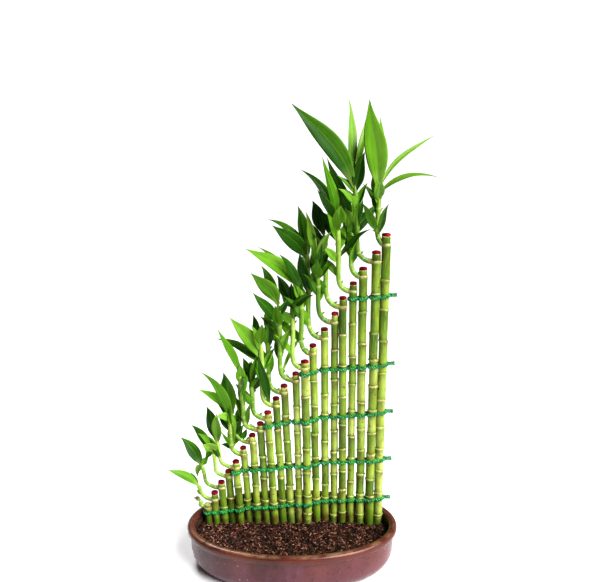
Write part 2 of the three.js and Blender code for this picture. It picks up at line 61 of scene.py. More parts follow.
# foot, set back, lean, tip, girth, crown (reach, rise), then the leaves as
# way up the shoot, lean in degrees, length, width, arch, tone (0 dark to 1 bright, -1 a dry scale)
plants = [
    (-117, -2, -2, 75, 9.2, (-10, 5), [(1, -72, 11, 6, 0.3, -1)]),
    (-106, -2, -3.5, 94, 9.2, (-22, 9),
     [(1, -61, 50, 12, 0.3, 0.58), (1, -29, 23, 7, 0.3, 0.15), (0.45, -51, 11, 6, 0.3, 0.5)]),
    (-94.5, -2, -5, 110, 9.4, (-27, 22),
     [(1, -35, 51, 17, 0.3, 0.25), (1, 38, 16, 9, 0.4, 0.6), (0.95, -157, 18, 9, 0.6, 0.9)]),
    (-83, 1, -6.5, 125, 9.4, (-20, 29),
     [(1, -57, 19, 17, 0.8, 0.95), (1, -37, 50, 13, 0.3, 0.25), (0.95, -130, 16, 9, 0.6, 0.15)]),
    (-71.5, -3, -7, 141, 9.6, (-26, 27),
     [(1, -15, 53, 17, 0.2, 0.2), (1, 1, 41, 16, 0.2, 0.82)]),
    (-59.5, 3, -9, 159, 8.8, (-17, 41),
     [(1, -74, 22, 12, 0.8, 0.85), (0.45, -66, 19, 7, 0.6, 0.3), (0.5, -31, 29, 6, 0.3, 0.5),
      (1, -29, 81, 14, 1.1, 0.48)]),
    (-48, 0, -7.5, 179, 9.4, (-28, 28),
     [(1, -10, 61, 24, 0.1, 0.35), (1, -52, 59, 13, 0.45, 0.55), (0.3, 21, 19, 9, 0.4, 0.05),
      (0.5, 20, 28, 7, 0.2, 0.05)]),
    (-35.5, 0, -8.5, 196, 9.6, (-26, 75),
     [(1, -25, 69, 11, 0.3, 0.5), (0.55, -54, 12, 9, 0.5, 0.1), (0.45, 12, 34, 9, 0.4, 0.7),
      (0.6, -3, 77, 11, 0.2, 0.3), (0.95, 179, 29, 8, 0.7, 0.3)]),
    (-23.5, -2, -10, 213, 9.6, (-23, 41),
     [(1, -17, 37, 12, 0.2, 0.4), (1, 13, 39, 10, 0.2, 0.4), (1, -4, 29, 10, 0.1, 0.2),
      (1, -72, 19, 7, 0.5, 0.7)]),
    (-11.5, 1, -10.5, 232, 9.4, (-20, 82),
     [(0.85, -36, 71, 20, 0.35, 0.75), (1, -14, 40, 13, 0.2, 0.15), (0.25, -11, 75, 12, 0.1, 0.03),
      (0.8, -60, 73, 13, 0.35, 0.25)]),
    (0, 2, -11, 250, 9.6, (-23, 73),
     [(1, -147, 24, 16, 0.6, 0.95), (0.99, 145, 33, 18, 0.6, 0.8), (1, 3, 44, 12, 0.1, 0.75)]),
    (11, 0, -6, 268, 9, (-23, 100),
     [(1, -41, 55, 20, 0.5, 0.52), (1, -23, 56, 14, 0.3, 0.35), (0.85, -39, 55, 15, 0.1, 0.12),
      (0.5, 26, 71, 6, 0.4, 0.6)]),
    (22.5, -3, -5, 286, 10.8, (-17, 79),
     [(1, -28, 44, 17, 0.2, 0.35), (0.86, 36, 35, 13, 0.3, 0.1), (0.95, -39, 24, 10, 0.1, 0.08),
      (0.95, 60, 33, 11, 0.4, 0.2)]),
    (35.5, 3, -7, 307, 9.6, (-16, 80),
     [(1, -54, 91, 20, 0.35, 0.66), (1, -32, 54, 13, 0.25, 0.1), (0.9, -15, 47, 13, 0.1, 0.03),
      (1, -46, 81, 9, 0.3, 0.45)]),
    (47, 5, -3, 329, 9.6, (-24, 110),
     [(1, -12, 59, 16, 0.2, 0.35), (0.93, -47, 64, 21, 0.35, 0.12), (1, -53, 65, 11, 0.4, 0.35),
      (0.72, -12, 57, 17, 0.2, 0.02), (1, -16, 32, 11, 0.3, 0.1)]),
    (59, 4, -1, 351, 9.2, (-25.5, 77),
     [(1, 29, 40, 11, 0.3, 0.95), (0.85, 27, 36, 10, 0.3, 0.08), (0.8, 42, 32, 7, 0.3, 0.4),
      (1, -13, 63, 12, 0.2, 0.9), (0.9, 12, 35, 8, 0.1, 0.05)]),
    (70.5, 1, -2, 373, 9.8, (-26, 85),
     [(1, -19, 47, 18, 0.2, 0.06), (1, 8, 46, 12, 0.1, 0.3), (0.85, -28, 46, 12, 0.2, 0.1)]),
    (82, 1, 0, 393, 9.4, (-22, 78),
     [(1, 10, 27, 18, 0.2, 0.8), (1, -65, 14, 13, 0.95, 0.75), (1, -13, 92, 15, 0.4, 0.4),
      (1, -34, 87, 13, 0.8, 0.1), (1, -30, 54, 12, 0.4, 0.08), (0.85, -33, 51, 16, 0.3, 0.05),
      (0.72, 48, 58, 10, 0.3, 0.1)]),
    (95.5, -1, -1, 413, 10.6, (-16, 50),
     [(0.88, 37, 59, 15, 0.25, 0.04), (1, -16, 31, 17, 0.2, 0.85), (1, 8, 51, 11, 0.2, 0.65),
      (1, 31, 18, 13, 0.9, 0.8), (0.95, 19, 46, 13, 0.1, 0.1), (1, -19, 99, 17, 0.35, 0.12),
      (0.6, -16, 50, 6, 0.3, 0.1)]),
    (108, -3, 3.5, 435, 11.4, (-30, 86),
     [(1, -38, 132, 26, 0.4, 0.31), (1, -5, 112, 13, 0.15, 0.85), (0.95, 13, 52, 17, 0.2, 0.08),
      (1, 9, 104, 9, 0.3, 0.9), (0.93, -44, 36, 9, 0.3, 0.45)]),
    (120.5, -1, 3.8, 458, 11.4, (-10.5, 59),
     [(0.97, 0, 94, 14, 0.2, 0.6), (1, -7, 114, 30, 0.1, 0.66), (0.98, 46, 102, 7, 0.5, 0.9),
      (0.92, 75, 84, 8, 0.55, 0.8), (0.8, -36, 37, 10, 0.3, 0.3), (0.5, 19, 44, 9, 0.3, 0.4)]),
]


# A fixed number from 0 to 1 for the nth choice about plant i.
def draw(i, n):
    seed = 37 * i + 11 * n + 5
    return (seed * seed * 29 + seed * 641 + 71) % 1009 / 1009


def smooth(low, high, x):
    t = np.clip((x - low) / (high - low), 0, 1)
    return t * t * (3 - 2 * t)


def unit(vectors):
    return vectors / np.linalg.norm(vectors, axis=-1, keepdims=True)


# A point on the centripetal curve through path.
def curvePoint(path, way):
    last = len(path) - 1
    place = last * way
    k = min(int(place), last - 1)
    t = place - k
    p1, p2 = path[k], path[k + 1]
    p0 = path[k - 1] if k else 2 * path[0] - path[1]
    p3 = path[k + 2] if k + 2 <= last else 2 * path[last] - path[last - 1]
    d0, d1, d2 = (np.sum((a - b) ** 2) ** 0.25 for a, b in ((p0, p1), (p1, p2), (p2, p3)))
    m1 = ((p1 - p0) / d0 - (p2 - p0) / (d0 + d1) + (p2 - p1) / d1) * d1
    m2 = ((p2 - p1) / d1 - (p3 - p1) / (d1 + d2) + (p3 - p2) / d2) * d1
    return p1 + m1 * t + (-3 * p1 + 3 * p2 - 2 * m1 - m2) * t ** 2 + (2 * p1 - 2 * p2 + m1 + m2) * t ** 3


# A number between two limits by the nth draw of plant i.
def pick(i, n, limits):
    low, high = limits
    return low + (high - low) * draw(i, n)


def circle(sides):
    angle = np.arange(sides) * 2 * math.pi / sides
    return np.stack([np.cos(angle), np.sin(angle)], 1)


def runAlong(points):
    return np.concatenate([[0], np.cumsum(np.linalg.norm(np.diff(points, axis=0), axis=1))])


def newMesh(name, points, edges=(), faces=()):
    mesh = bpy.data.meshes.new(name)
    mesh.from_pydata(points, edges, faces)
    return mesh


def addObject(name, data):
    thing = bpy.data.objects.new(name, data)
    bpy.context.scene.collection.objects.link(thing)
    return thing


def setAll(thing, settings):
    for key, setting in settings.items():
        setattr(thing, key, setting)


def faceOut(thing):
    bm = bmesh.new()
    bm.from_mesh(thing.data)
    bmesh.ops.recalc_face_normals(bm, faces=bm.faces)
    bm.to_mesh(thing.data)
    bm.free()


def claim(piece, slot, *nodes):
    if nodes:
        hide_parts(*nodes)
    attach(piece, "root")


# Stores a number at each point of a mesh, or a vector where the field has columns.
def addLayer(mesh, key, field):
    field = np.asarray(field, np.float32)
    kind, slot = ("FLOAT_VECTOR", "vector") if field.ndim == 2 else ("FLOAT", "value")
    mesh.attributes.new(key, kind, "POINT").data.foreach_set(slot, field.ravel())


# A closed skin over rings of points; values are numbers that the material reads at each point.
def loft(name, rings, look=None, ends=(True, True), **values):
    rings = np.asarray(rings, float)
    count, around = rings.shape[:2]
    index = np.arange(count * around).reshape(count, around)
    low, high = index[:-1], index[1:]
    faces = np.stack([low, np.roll(low, -1, 1), np.roll(high, -1, 1), high], -1).reshape(-1, 4).tolist()
    faces += [index[0][::-1].tolist()] * ends[0] + [index[-1].tolist()] * ends[1]
    mesh = newMesh(name, (rings.reshape(-1, 3) * mm).tolist(), faces=faces)
    for key, field in values.items():
        addLayer(mesh, key, np.broadcast_to(field, (count, around)).ravel())
    if look:
        mesh.materials.append(look)
    mesh.shade_smooth()
    thing = addObject(name, mesh)
    faceOut(thing)
    return thing


# Gives each of a node's inputs a value, an output, or another node's first output.
def feed(node, links):
    for socket, source in links.items():
        source = source.outputs[0] if isinstance(source, bpy.types.Node) else source
        if isinstance(source, bpy.types.NodeSocket):
            node.id_data.links.new(source, node.inputs[socket])
        else:
            node.inputs[socket].default_value = source


def addNode(tree, kind, links=None, **settings):
    made = tree.nodes.new(kind)
    setAll(made, settings)
    feed(made, links or {})
    return made


def newLook(name):
    look = bpy.data.materials.new(name)
    look.use_nodes = True
    return look, look.node_tree, look.node_tree.nodes["Principled BSDF"]


# These add their nodes to the tree of the output that they read.
def ramp(source, *stops):
    made = addNode(source.id_data, "ShaderNodeValToRGB", {0: source})
    elements = made.color_ramp.elements
    while len(elements) < len(stops):
        elements.new(0.5)
    for element, (place, color) in zip(elements, stops):
        element.position = place
        element.color = (*color, 1) if isinstance(color, tuple) else (color, color, color, 1)
    return made.outputs[0]


def blend(share, a, b):
    a, b = ((*color, 1) if isinstance(color, tuple) else color for color in (a, b))
    return addNode(share.id_data, "ShaderNodeMix", {0: share, 6: a, 7: b}, data_type="RGBA").outputs[2]


# Lays colors over a base, each by its share.
def layered(base, *layers):
    for share, color in layers:
        base = blend(share, base, color)
    return base


def calc(operation, a, b=0.0):
    tree = (a if isinstance(a, bpy.types.NodeSocket) else b).id_data
    return addNode(tree, "ShaderNodeMath", {0: a, 1: b}, operation=operation).outputs[0]


def times(a, b):
    return calc("MULTIPLY", a, b)


def plus(a, b):
    return calc("ADD", a, b)


# Moves a value up and down by what a cloud lies above and below its middle.
def vary(value, source, amount):
    return plus(times(calc("SUBTRACT", source, 0.5), amount), value)


def placeOf(tree, stretch=(1, 1, 1)):
    coords = addNode(tree, "ShaderNodeTexCoord").outputs["Object"]
    return addNode(tree, "ShaderNodeMapping", {"Vector": coords, "Scale": stretch}).outputs[0]


def cloud(place, scale, detail=4.0, rough=0.55):
    links = {"Vector": place, "Scale": scale, "Detail": detail, "Roughness": rough}
    return addNode(place.id_data, "ShaderNodeTexNoise", links).outputs["Fac"]


def valueOf(tree, name):
    return addNode(tree, "ShaderNodeAttribute", attribute_name=name).outputs["Fac"]


def addBump(shader, height, strength, distance):
    links = {"Height": height, "Strength": strength, "Distance": distance}
    feed(shader, {"Normal": addNode(shader.id_data, "ShaderNodeBump", links)})


bowl = {
    "length": 290, "width": 191, "squareness": 2.06, "sides": 176, "roundSteps": 3,
    # heights over which the lip's glaze and its wear come in, and insets where the wear thins and ends
    "lipFrom": (47.6, 49.6), "wornFrom": (57.4, 59.8), "wornTo": (6, 10), "insideFrom": 10.4,
    # the wall as inset from the rim's edge and height: foot, outside, rim, inside
    "outline": [
        (60, 0), (32, 0), (30, 0.4), (24, 1.3), (18.6, 3), (12.6, 8), (7.8, 16), (5.6, 26), (4.7, 40),
        (4.5, 46.6), (3.9, 48.4), (1.9, 49.7), (0.7, 51.4), (0.15, 54.4), (0.5, 56.9), (1.9, 59), (4.4, 60),
        (7.2, 60), (9.3, 59.2), (10.8, 57.6), (11.6, 55), (12.3, 38), (13.1, 22), (19, 13), (32, 8),
        (60, 8),
    ],
    "body": ((0.036, 0.012, 0.014), (0.08, 0.025, 0.024), (0.14, 0.045, 0.04)),
    # the purple of the glaze's runs, also laid near the foot as a painted sheen
    "bloomAndSheen": (0.13, 0.045, 0.07), "lip": ((0.04, 0.01, 0.007), (0.115, 0.03, 0.02)),
    "worn": (0.2, 0.11, 0.06), "inside": (0.035, 0.016, 0.012), "speck": (0.42, 0.3, 0.28),
}


def glazeLook():
    look, tree, shader = newLook("bowl_glaze")
    place = placeOf(tree)
    drift = cloud(place, 11, 5)
    run = cloud(placeOf(tree, (38, 38, 7)), 1.0, 5)
    height = addNode(tree, "ShaderNodeSeparateXYZ", {0: place}).outputs["Z"]
    pores = cloud(place, 240, 3)
    specks = addNode(tree, "ShaderNodeTexVoronoi", {"Vector": place, "Scale": 130.0}).outputs["Distance"]
    rare = ramp(cloud(place, 36, 2), (0.52, 0.0), (0.62, 1.0))
    chafed = ramp(cloud(place, 48, 6, 0.7), (0.4, 0.0), (0.56, 1.0))
    lip = blend(ramp(drift, (0.35, 0.0), (0.65, 1.0)), *bowl["lip"])
    inside = blend(ramp(pores, (0.45, 0.0), (0.7, 0.5)), bowl["inside"], bowl["worn"])
    color = layered(
        ramp(drift, *zip((0.32, 0.5, 0.7), bowl["body"])),
        (ramp(run, (0.48, 0.0), (0.72, 0.6)), bowl["bloomAndSheen"]),
        # painted purple sheen, strongest near the bowl's foot
        (ramp(height, (0.006, 0.55), (0.044, 0.0)), bowl["bloomAndSheen"]),
        (ramp(pores, (0.34, 0.5), (0.42, 0.0)), bowl["body"][0]),
        (times(ramp(specks, (0.1, 0.85), (0.17, 0.0)), rare), bowl["speck"]),
        (valueOf(tree, "lip"), lip),
        (times(valueOf(tree, "worn"), chafed), bowl["worn"]),
        (valueOf(tree, "inside"), inside),
    )
    feed(shader, {
        "Base Color": color, "Roughness": ramp(cloud(place, 80), (0.3, 0.2), (0.75, 0.42)),
        "Specular IOR Level": 0.24, "Coat Weight": 0.12, "Coat Roughness": 0.14,
    })
    addBump(shader, cloud(place, 62, 5), 0.22, 0.002)
    return look


def oval(inset, z, sides, share=1.0):
    x, y = (np.sign(part) * np.abs(part) ** (2 / bowl["squareness"]) for part in circle(sides).T)
    halfLength, halfWidth = (bowl["length"] / 2 - inset) * share, (bowl["width"] / 2 - inset) * share
    return np.stack([halfLength * x, halfWidth * y, np.full(sides, float(z))], 1)


def buildBowl():
    path = np.array([(*point, 0.0) for point in bowl["outline"]])
    ways = np.linspace(0, 1, (len(path) - 1) * bowl["roundSteps"] + 1)
    inset, z = np.array([curvePoint(path, way)[:2] for way in ways]).T
    z = np.maximum(z, 0)
    inside = (np.arange(len(z)) > np.argmax(z > 59.9)) & (inset > bowl["insideFrom"])
    lip = smooth(*bowl["lipFrom"], z) * ~inside
    thins, ends = bowl["wornTo"]
    worn = smooth(*bowl["wornFrom"], z) * (inset < ends) * (0.35 + 0.65 * (inset < thins))
    front = 0.5 - 0.5 * circle(bowl["sides"])[:, 1]
    worn = worn[:, None] * (0.12 + 0.88 * front ** 2)   # the rim is worn most at the front
    rings = [oval(*spot, bowl["sides"]) for spot in zip(inset, z)]
    marks = {"lip": lip[:, None], "worn": worn, "inside": inside[:, None]}
    claim(loft("glazed_bowl", rings, glazeLook(), **marks), "glazed_bowl", "bowl")


soil = {
    "top": 47, "low": 24, "heap": -1.6, "heapWidth": 30, "lump": 1.3, "rough": 1.1, "inset": 12.6,
    "rings": 34, "sides": 150, "edge": 0.985, "middle": 0.02,   # outermost and innermost ring, as shares
    "bed": ((0.004, 0.0015, 0.001), (0.014, 0.005, 0.002), (0.04, 0.015, 0.008)),
}
# what lies on the bed: pieces to a square metre, smallest and largest scale, shapes in millimetres
# (length, width and bend of a shred; three half sizes of a chip), colours from dark to light
shreds = {
    "density": 170000, "seed": 5, "size": (0.6, 1.2),
    "shapes": [(4.8, 1.9, 0.7), (3.4, 2.2, 0.4), (6.4, 1.3, 1.1), (2.8, 2.4, 0.3)],
    "colors": ((0.006, 0.002, 0.001), (0.045, 0.013, 0.006), (0.16, 0.048, 0.024), (0.44, 0.22, 0.15)),
}
chips = {
    "density": 6000, "seed": 9, "size": (0.5, 1.2), "shapes": [(2.4, 1.7, 1.0), (1.6, 1.3, 0.9)],
    "colors": ((0.01, 0.005, 0.003), (0.04, 0.016, 0.01), (0.1, 0.045, 0.03), (0.2, 0.1, 0.06)),
}
grit = {
    "density": 420, "seed": 3, "size": (0.4, 0.9), "shapes": [(1.3, 1.1, 0.9), (0.9, 0.8, 0.7)],
    "colors": ((0.2, 0.16, 0.12), (0.4, 0.34, 0.28), (0.6, 0.55, 0.48), (0.8, 0.78, 0.72)),
}


def bedLook():
    look, tree, shader = newLook("soil_dark")
    place = placeOf(tree)
    color = ramp(cloud(place, 180), *zip((0.35, 0.52, 0.7), soil["bed"]))
    feed(shader, {"Base Color": color, "Roughness": 0.95, "Specular IOR Level": 0.1})
    addBump(shader, cloud(place, 700, 3), 0.7, 0.0012)
    return look


def bitsLook(name, colors):
    look, tree, shader = newLook(name)
    color = ramp(valueOf(tree, "tone"), *zip((0.15, 0.5, 0.82, 1.0), colors))
    grain = cloud(placeOf(tree), 900, 2)
    color = blend(ramp(grain, (0.4, 0.0), (0.7, 0.55)), color, colors[0])
    rough = ramp(grain, (0.3, 0.5), (0.7, 0.85))
    feed(shader, {"Base Color": color, "Roughness": rough, "Specular IOR Level": 0.35})
    addBump(shader, grain, 0.4, 0.0005)
    return look


def soilHeight(x, y):
    heap = soil["heap"] * np.exp(-(((y - rowDepth) / soil["heapWidth"]) ** 2))
    lumps = np.sin(x / 6.1 + 1.4 * np.sin(y / 8.3)) * np.cos(y / 5.7 + x / 17)
    return soil["top"] + heap + soil["lump"] * lumps


def soilRing(share):
    ring = oval(soil["inset"], 0, soil["sides"], share)
    rough = [noise.fractal(Vector((x * 0.16, y * 0.16, 3.1)), 0.8, 2.1, 4) for x, y, _ in ring]
    ring[:, 2] = soilHeight(ring[:, 0], ring[:, 1]) + soil["rough"] * np.array(rough)
    return ring


# A bent strip of coir or bark, few faces because thousands of it lie on the bed.
def shredShape(name, length, width, bend):
    way = np.linspace(0, 1, 4)
    sideways, up = bend * np.sin(way * 3 + length), bend * np.cos(way * 2.3 + length)
    spine = np.stack([length * (way - 0.5), sideways, up], 1)
    half = width * (0.2 + 0.3 * np.sin(way * math.pi))
    corners = np.array([(0, 1, 0), (0, 0, 0.6), (0, -1, 0), (0, 0, -0.6)])
    return loft(name, spine[:, None] + half[:, None, None] * corners)


def chipShape(name, *size):
    bm = bmesh.new()
    bmesh.ops.create_icosphere(bm, subdivisions=1, radius=1.0)
    for vert in bm.verts:
        bulge = 1 + 0.35 * noise.noise(vert.co * 1.3 + Vector(size))
        vert.co = Vector([c * s * bulge for c, s in zip(vert.co, size)]) * mm
    mesh = bpy.data.meshes.new(name)
    bm.to_mesh(mesh)
    bm.free()
    return addObject(name, mesh)


# Sets a tree's named inputs on an object, and turns what it makes into a plain mesh.
def applyTree(thing, tree, settings):
    modifier = thing.modifiers.new(tree.name, "NODES")
    modifier.node_group = tree
    sockets = {item.name: item.identifier for item in tree.interface.items_tree if item.in_out == "INPUT"}
    for name, setting in settings.items():
        modifier[sockets[name]] = setting
    mesh = bpy.data.meshes.new_from_object(thing.evaluated_get(bpy.context.evaluated_depsgraph_get()))
    thing.modifiers.clear()
    thing.data = mesh
    mesh.name = thing.name


def newTree(name, **inputs):
    tree = bpy.data.node_groups.new(name, "GeometryNodeTree")
    tree.interface.new_socket("Geometry", in_out="INPUT", socket_type="NodeSocketGeometry")
    for key, kind in inputs.items():
        tree.interface.new_socket(key, in_out="INPUT", socket_type="NodeSocket" + kind)
    tree.interface.new_socket("Geometry", in_out="OUTPUT", socket_type="NodeSocketGeometry")
    return tree, tree.nodes.new("NodeGroupInput").outputs, tree.nodes.new("NodeGroupOutput")


# Strews the shapes of a collection over a surface, each turned, sized and toned by chance.
def strewTree():
    tree, given, result = newTree(
        "strew", Density="Float", Seed="Int", Kinds="Collection",
        Smallest="Float", Largest="Float", Look="Material",
    )
    spots = addNode(tree, "GeometryNodeDistributePointsOnFaces", {
        "Mesh": given["Geometry"], "Density": given["Density"], "Seed": given["Seed"],
    })
    kinds = addNode(tree, "GeometryNodeCollectionInfo", {
        "Collection": given["Kinds"], "Separate Children": True, "Reset Children": True,
    })
    turn = addNode(tree, "FunctionNodeRandomValue", {
        0: (-0.6, -0.6, 0.0), 1: (0.6, 0.6, 6.283),   # a little tilt, any turn
    }, data_type="FLOAT_VECTOR")
    size = addNode(tree, "FunctionNodeRandomValue", {2: given["Smallest"], 3: given["Largest"], "Seed": 7})
    laid = addNode(tree, "GeometryNodeInstanceOnPoints", {
        "Points": spots, "Instance": kinds, "Pick Instance": True,
        "Rotation": turn, "Scale": size.outputs[1],
    })
    chance = addNode(tree, "FunctionNodeRandomValue", {"Seed": 11})
    toned = addNode(tree, "GeometryNodeStoreNamedAttribute", {
        "Geometry": laid, "Name": "tone", "Value": chance.outputs[1],
    }, domain="INSTANCE")
    real = addNode(tree, "GeometryNodeRealizeInstances", {0: toned})
    painted = addNode(tree, "GeometryNodeSetMaterial", {"Geometry": real, "Material": given["Look"]})
    feed(result, {0: painted})
    return tree


def strew(name, tree, bed, settings, makeShape):
    kinds = bpy.data.collections.new(name + "_kinds")
    for k, shape in enumerate(settings["shapes"]):
        kind = makeShape("%s_kind_%d" % (name, k), *shape)
        bpy.context.scene.collection.objects.unlink(kind)
        kinds.objects.link(kind)
    thing = addObject(name, bed.data.copy())
    applyTree(thing, tree, {
        "Density": float(settings["density"]), "Seed": settings["seed"], "Kinds": kinds,
        "Smallest": settings["size"][0], "Largest": settings["size"][1],
        "Look": bitsLook(name + "_look", settings["colors"]),
    })
    for kind in list(kinds.objects):
        bpy.data.objects.remove(kind)
    thing.data.shade_flat()
    claim(thing, "potting_soil")


def buildSoil():
    top = [soilRing(share) for share in np.linspace(soil["edge"], soil["middle"], soil["rings"])]
    low = oval(soil["inset"] + 0.8, soil["low"], soil["sides"])
    wall = oval(soil["inset"] - 0.2, soil["top"] - 2.5, soil["sides"])
    claim(loft("soil_bed", [low, wall, *top], bedLook()), "potting_soil", "soil")
    bed = loft("bed", top, ends=(False, False))
    tree = strewTree()
    strew("soil_shreds", tree, bed, shreds, shredShape)
    strew("soil_chips", tree, bed, chips, chipShape)
    strew("soil_grit", tree, bed, grit, chipShape)
    bpy.data.objects.remove(bed)


# Lines whose points carry values, numbers or vectors; a tree gives them their bodies. The kinds of line:
caneKind, shootKind, leafKind, scaleKind, wireKind = range(5)
lineValues = {
    "kind": (), "size": (), "facing": (3,), "slant": (3,), "ripple": (), "run": (),
    "tone": (), "along": (), "crest": (), "shade": (),
}


class Lines:
    def __init__(self):
        self.points, self.edges, self.count = [], [], 0
        self.values = {key: [] for key in lineValues}

    def add(self, points, **values):
        length = len(points)
        self.points.append(points)
        self.edges += [(k, k + 1) for k in range(self.count, self.count + length - 1)]
        self.count += length
        for key, shape in lineValues.items():
            field = np.asarray(values.get(key, 0.0), float)
            self.values[key].append(np.broadcast_to(field, (length, *shape)))

    def thing(self, name):
        mesh = newMesh(name, (np.concatenate(self.points) * mm).tolist(), self.edges)
        for key, fields in self.values.items():
            addLayer(mesh, key, np.concatenate(fields))
        return addObject(name, mesh)


# A closed outline that is swept along lines; x goes the way a line faces, y across.
def newSection(name, points, across=0.0, under=0.0):
    corners = [(x, y, 0) for x, y in points]
    count = len(corners)
    mesh = newMesh(name, corners, [(k, (k + 1) % count) for k in range(count)])
    addLayer(mesh, "across", np.broadcast_to(across, count))
    addLayer(mesh, "under", np.broadcast_to(under, count))
    addLayer(mesh, "spoke", corners)
    return addObject(name, mesh)


# Sweeps a section along each line of its kind. Slant tips a ring; ripple waves a blade's edges.
def sweepTree(name, branches):
    tree, given, result = newTree(name, Girth="Float", Wave="Float", Turns="Float")

    def value(key, kind="FLOAT"):
        return addNode(tree, "GeometryNodeInputNamedAttribute", {"Name": key}, data_type=kind).outputs[0]

    def isKind(kind):
        links = {0: value("kind"), 1: float(kind)}
        return addNode(tree, "FunctionNodeCompare", links, operation="EQUAL").outputs[0]

    def vector(operation, links):
        return addNode(tree, "ShaderNodeVectorMath", links, operation=operation).outputs

    size = times(value("size"), given["Girth"])
    joined = addNode(tree, "GeometryNodeJoinGeometry")
    for kind, section, _ in branches:
        links = {"Mesh": given["Geometry"], "Selection": isKind(kind)}
        lines = addNode(tree, "GeometryNodeMeshToCurve", links)
        turned = addNode(tree, "GeometryNodeSetCurveNormal", {
            "Curve": lines, "Normal": value("facing", "FLOAT_VECTOR"),
        }, mode="FREE")
        outline = addNode(tree, "GeometryNodeObjectInfo", {"Object": section})
        profile = addNode(tree, "GeometryNodeMeshToCurve", {"Mesh": outline.outputs["Geometry"]})
        swept = addNode(tree, "GeometryNodeCurveToMesh", {
            "Curve": turned, "Profile Curve": profile, "Scale": size, "Fill Caps": True,
        })
        feed(joined, {0: swept})
    across = value("across")
    swing = calc("SINE", plus(value("run"), times(across, given["Turns"])))
    reach = times(times(across, across), times(value("ripple"), given["Wave"]))
    waved = vector("SCALE", {0: value("facing", "FLOAT_VECTOR"), "Scale": times(swing, reach)})[0]
    tip = vector("DOT_PRODUCT", {0: value("slant", "FLOAT_VECTOR"), 1: value("spoke", "FLOAT_VECTOR")})[1]
    tipped = addNode(tree, "ShaderNodeCombineXYZ", {2: tip})
    shaped = addNode(tree, "GeometryNodeSetPosition", {
        "Geometry": joined, "Offset": vector("ADD", {0: waved, 1: tipped})[0],
    })
    last = addNode(tree, "GeometryNodeRealizeInstances", {0: shaped})
    for kind, _, look in branches:
        last = addNode(tree, "GeometryNodeSetMaterial", {
            "Geometry": last, "Selection": isKind(kind), "Material": look,
        })
    feed(result, {0: last})
    return tree


def grow(lines, name, tree, **settings):
    piece = lines.thing(name)
    applyTree(piece, tree, settings)
    piece.data.shade_smooth()
    faceOut(piece)
    return piece


cane = {
    "sides": 24, "foot": 35, "cadFoot": 22, "swell": 0.3, "uneven": 0.1, "kink": 0.5, "slant": 1.0,
    "firstNode": 56, "topNode": 0.62, "stubNode": 5,   # lowest node; the top one's place under the tip
    "gap": (25, 9, 0.045),   # least, spread, and growth with height of the space between nodes
    "tall": (0.85, 0.5, 1.5),   # a node's height: least, spread, and the top one's
    # a node: height above it, how far the wall stands out, pale crest, painted green shade in its groove and
    # under it
    "node": [
        (-15, 0, 0, 0.1), (-8, 0.04, 0, 0.3), (-4.5, 0.12, 0, 0.5), (-2.4, 0.3, 0.08, 0.8),
        (-1.3, 0.55, 0.4, 0.5), (-0.6, 0.8, 0.85, 0.1), (0.1, 0.85, 1, 0), (0.6, 0.62, 0.75, 0.1),
        (0.95, 0.14, 0.05, 1), (1.5, -0.08, 0, 0.8), (2.8, -0.12, 0, 0.35), (5, -0.02, 0, 0.12),
        (8, 0, 0, 0),
    ],
    "darkFoot": [(5, 0.85), (13, 0.4)],   # height above the soil, and how much darker the cane is painted there
    "cut": [(-1.8, -0.3, 0, 0.1), (-1.3, -0.45, 0.9, 0), (0, -0.65, 1, 0)],   # laid out as a node is
    "tone": (0.24, 0.22, 0.58),   # least, spread from cane to cane, and from node to node
    "darkTop": 0.4, "darkShort": 0.24, "paleLast": 0.15,
    "colors": ((0.035, 0.085, 0.004), (0.12, 0.21, 0.012), (0.25, 0.345, 0.036), (0.4, 0.465, 0.11)),
    "shade": (0.028, 0.085, 0.004), "crest": ((0.24, 0.18, 0.045), (0.5, 0.5, 0.2)),
    "rust": (0.11, 0.055, 0.014),
}
farFromNode = 99
# the rows of ties: first cane, height there, height at the tallest; a node keeps clear of them
tieHeights = [(17, 370, 374), (12, 267, 279), (8, 193, 211), (4, 124.5, 142), (0, 63, 84)]
tieClear, aboveTie = 4.5, 5


def caneLook():
    look, tree, shader = newLook("cane_green")
    blotch = cloud(placeOf(tree, (1, 1, 0.3)), 85, 5)
    wash = vary(valueOf(tree, "tone"), blotch, 0.8)
    fibre = cloud(placeOf(tree, (1, 1, 0.06)), 1100, 2)
    shade = valueOf(tree, "shade")
    dirt = ramp(cloud(placeOf(tree, (1, 1, 0.5)), 120, 4), (0.5, 0.0), (0.6, 0.95))
    mottle = ramp(cloud(placeOf(tree), 230, 2), (0.36, 0.0), (0.55, 1.0))
    color = layered(
        ramp(wash, *zip((0.1, 0.4, 0.65, 0.95), cane["colors"])),
        (ramp(fibre, (0.5, 0.0), (0.72, 0.4)), cane["colors"][3]),
        (ramp(fibre, (0.3, 0.35), (0.46, 0.0)), cane["colors"][1]),
        # painted shade in each node's groove and under its ring; the feet are painted darker towards the
        # soil
        (times(shade, plus(0.45, times(blotch, 0.8))), cane["shade"]),
        (times(dirt, plus(0.2, times(shade, 0.95))), cane["rust"]),
        (valueOf(tree, "crest"), blend(mottle, *cane["crest"])),
        (ramp(cloud(placeOf(tree), 190, 1), (0.7, 0.0), (0.74, 0.9)), cane["rust"]),
    )
    feed(shader, {
        "Base Color": color, "Roughness": ramp(blotch, (0.3, 0.3), (0.7, 0.46)),
        "Specular IOR Level": 0.3, "Subsurface Weight": 0.06, "Subsurface Scale": 0.002,
    })
    addBump(shader, fibre, 0.14, 0.0006)
    return look


def axis(plant, z):
    foot, setBack, lean, tip = plant[:4]
    way = (z - cane["cadFoot"]) / (tip - cane["cadFoot"])
    return np.array([foot + lean * way, rowDepth + setBack, z])


